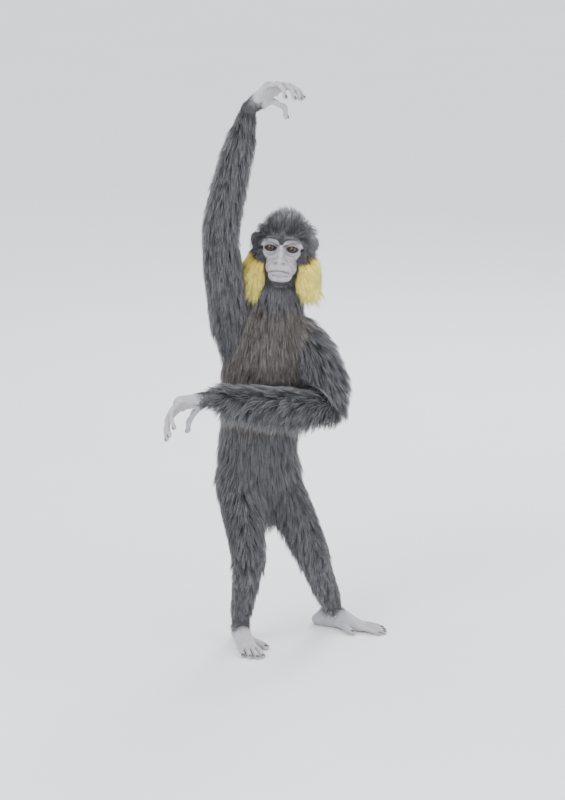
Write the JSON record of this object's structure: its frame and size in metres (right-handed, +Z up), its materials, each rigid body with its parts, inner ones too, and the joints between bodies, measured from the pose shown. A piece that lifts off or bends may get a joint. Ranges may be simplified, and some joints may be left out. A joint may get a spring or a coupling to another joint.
{
  "type": "northern yellow-cheeked gibbon",
  "caption": "Life-size standing male gibbon with golden cheek whiskers, one arm raised and the other laid across the belly.",
  "frame": {"origin": "on the floor, under the middle of the bounding box", "axes": "+Z up, -Y the way the chest and face look, +X to the animal's left"},
  "size_m": [0.4346, 0.304, 1.145],
  "materials": {
    "black_coat": "long black fur with a silvery sheen",
    "brownish_black_chest": "long brownish black fur",
    "golden_whiskers": "brushed-out golden yellow fur",
    "slate_skin": "bare slate grey skin, creased",
    "dark_brown_eye": "wet and glossy"
  },
  "bodies": {
    "root": {"head": "black_coat", "neck": "black_coat", "chest": "brownish_black_chest", "abdomen": "black_coat", "ear_right": "slate_skin", "ear_left": "slate_skin", "eye_right": "dark_brown_eye", "eye_left": "dark_brown_eye", "whiskers_right": "golden_whiskers", "whiskers_left": "golden_whiskers", "upper_arm_right": "black_coat", "upper_arm_left": "black_coat", "forearm_right": "black_coat", "forearm_left": "black_coat", "hand_right": "slate_skin", "hand_left": "slate_skin", "thigh_right": "black_coat", "thigh_left": "black_coat", "shank_right": "black_coat", "shank_left": "black_coat", "foot_right": "slate_skin", "foot_left": "slate_skin"}
  },
  "joints": []
}
